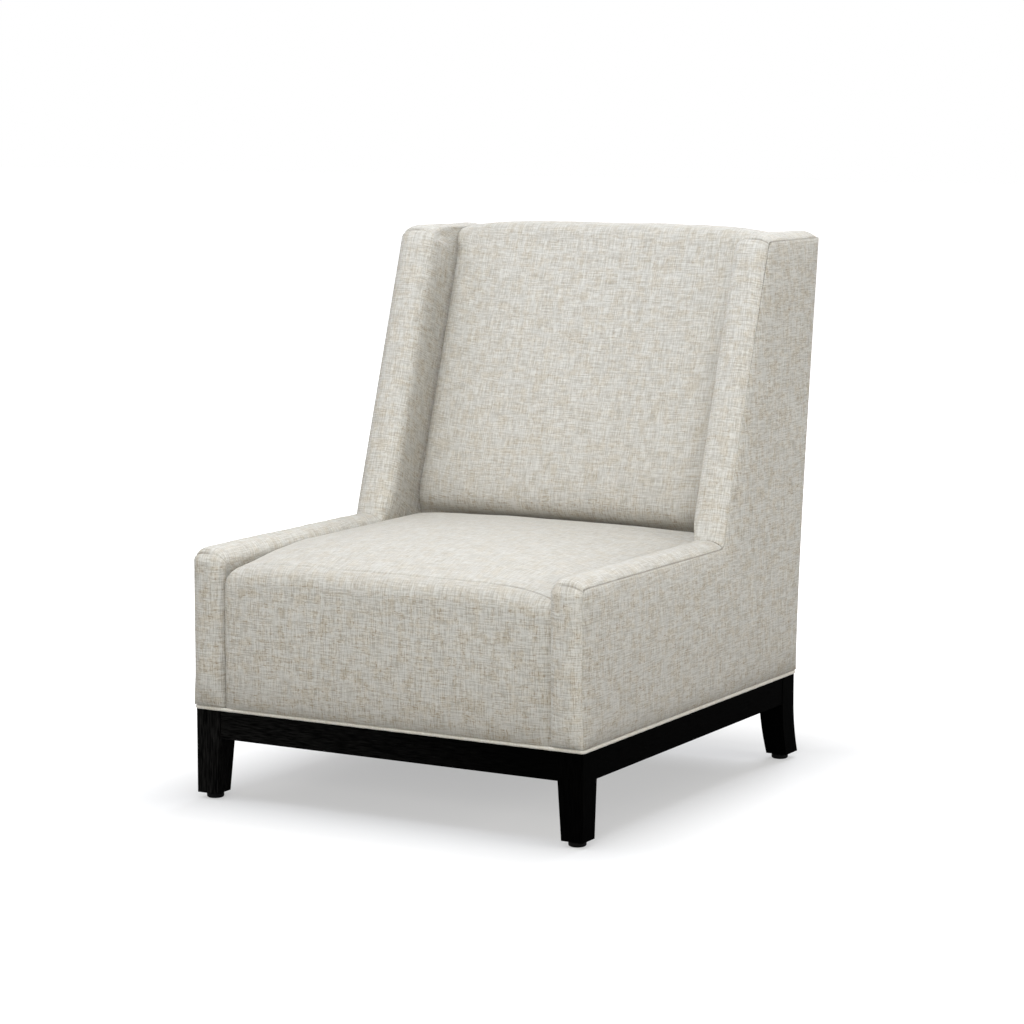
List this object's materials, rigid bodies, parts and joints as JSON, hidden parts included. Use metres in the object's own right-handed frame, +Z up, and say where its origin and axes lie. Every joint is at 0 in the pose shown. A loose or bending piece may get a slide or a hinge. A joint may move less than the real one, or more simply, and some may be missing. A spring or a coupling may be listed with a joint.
{
  "type": "slipper chair",
  "caption": "Upholstered lounge chair with low flat arms that rise into raked wings, a tight seat and back, and a dark timber base on levelling glides.",
  "frame": {"origin": "on the floor, under the middle of the chair's bounding box", "axes": "+Z up; -Y is the front, so someone facing the chair looks along +Y; +X is to their right"},
  "size_m": [0.713, 0.8386, 0.905],
  "materials": {
    "cover_fabric": "matte",
    "welt_fabric": "matte",
    "foam": "matte",
    "dark_wood": "satin",
    "frame_wood": "matte",
    "steel": "satin",
    "black_plastic": "matte",
    "dust_cloth": "matte",
    "webbing": "matte"
  },
  "bodies": {
    "chair": {"back_foam": "foam", "back_lower_rail": "frame_wood", "back_top_rail": "frame_wood", "back_webbing_1": "webbing", "back_webbing_2": "webbing", "back_webbing_3": "webbing", "base_welt": "welt_fabric", "dust_cover": "dust_cloth", "front_apron": "dark_wood", "front_panel_cover": "cover_fabric", "inside_back_cover": "cover_fabric", "left_back_post": "frame_wood", "left_band_cover": "cover_fabric", "left_flank_cover": "cover_fabric", "left_front_base_bolt": "steel", "left_front_corner_block": "frame_wood", "left_front_leg": "dark_wood", "left_front_leg_insert": "steel", "left_rear_base_bolt": "steel", "left_rear_corner_block": "frame_wood", "left_rear_leg": "dark_wood", "left_rear_leg_insert": "steel", "left_side_apron": "dark_wood", "left_side_padding": "foam", "left_side_panel": "frame_wood", "outside_back_cover": "cover_fabric", "rear_apron": "dark_wood", "right_back_post": "frame_wood", "right_band_cover": "cover_fabric", "right_flank_cover": "cover_fabric", "right_front_base_bolt": "steel", "right_front_corner_block": "frame_wood", "right_front_leg": "dark_wood", "right_front_leg_insert": "steel", "right_rear_base_bolt": "steel", "right_rear_corner_block": "frame_wood", "right_rear_leg": "dark_wood", "right_rear_leg_insert": "steel", "right_side_apron": "dark_wood", "right_side_padding": "foam", "right_side_panel": "frame_wood", "seat_cover": "cover_fabric", "seat_decking": "webbing", "seat_foam": "foam", "seat_front_rail": "frame_wood", "seat_rear_rail": "frame_wood", "seat_spring_1": "steel", "seat_spring_2": "steel", "seat_spring_3": "steel", "seat_spring_4": "steel", "seat_spring_5": "steel", "spring_tie_wire": "steel"},
    "left_front_glide": {"left_front_glide_pad": "black_plastic", "left_front_glide_stem": "steel"},
    "right_front_glide": {"right_front_glide_pad": "black_plastic", "right_front_glide_stem": "steel"},
    "left_rear_glide": {"left_rear_glide_pad": "black_plastic", "left_rear_glide_stem": "steel"},
    "right_rear_glide": {"right_rear_glide_pad": "black_plastic", "right_rear_glide_stem": "steel"}
  },
  "joints": [
    {"name": "left_front_glide_travel", "type": "slide", "parent": "chair", "child": "left_front_glide", "axis": [0, 0, -1], "range_m": [0, 0.012]},
    {"name": "right_front_glide_travel", "type": "slide", "parent": "chair", "child": "right_front_glide", "axis": [0, 0, -1], "range_m": [0, 0.012]},
    {"name": "left_rear_glide_travel", "type": "slide", "parent": "chair", "child": "left_rear_glide", "axis": [0, 0, -1], "range_m": [0, 0.012]},
    {"name": "right_rear_glide_travel", "type": "slide", "parent": "chair", "child": "right_rear_glide", "axis": [0, 0, -1], "range_m": [0, 0.012]}
  ]
}
